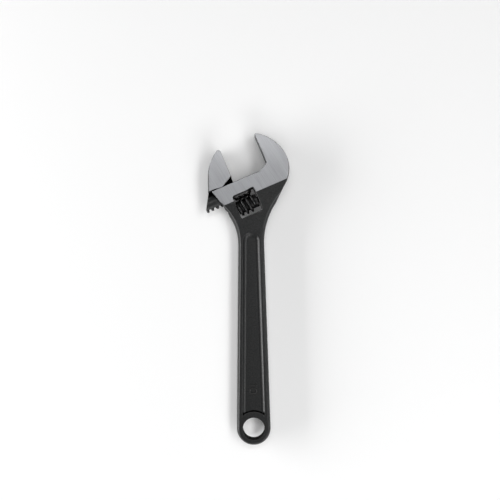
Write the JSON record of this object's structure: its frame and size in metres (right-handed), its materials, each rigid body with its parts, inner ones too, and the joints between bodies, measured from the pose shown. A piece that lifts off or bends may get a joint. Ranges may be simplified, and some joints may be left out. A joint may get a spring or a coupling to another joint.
{
  "type": "adjustable wrench",
  "caption": "Adjustable wrench with a forged handle and fixed jaw, a jaw on a toothed rail, a knurled worm that moves it, and a hang hole.",
  "frame": {"origin": "centre of the hang hole, half way through the handle", "axes": "+Y along the handle towards the jaws, +Z out of the front face, +X to the fixed jaw's side"},
  "size_m": [0.0683, 0.254, 0.0154],
  "materials": {
    "forged_body": "forged steel with a black oxide finish; the flats of the head are ground bright with a diagonal grain",
    "forged_jaw": "forged steel, cheeks and jaw face ground bright, web and rail black oxide",
    "worm_screw": "black oxide with a knurled crest",
    "pin_steel": "black oxide, slotted head",
    "spring_wire": "plain spring steel wire"
  },
  "bodies": {
    "frame": {"body": "forged_body", "worm_pin": "pin_steel", "worm_spring": "spring_wire"},
    "jaw": {"sliding_jaw": "forged_jaw"},
    "screw": {"worm": "worm_screw"}
  },
  "joints": [
    {"name": "jaw_slide", "type": "slide", "parent": "frame", "child": "jaw", "axis": [0.9239, 0.3827, 0], "range_m": [0, 0.03045]},
    {"name": "worm_spin", "type": "hinge", "parent": "frame", "child": "screw", "pos_m": [-0.00262, 0.18336, 0], "axis": [0.9239, 0.3827, 0], "range_deg": [-2580, 0]}
  ],
  "couplings": [
    {"joint": "worm_spin", "follows": "jaw_slide", "rad_per_m": -1478.4}
  ]
}
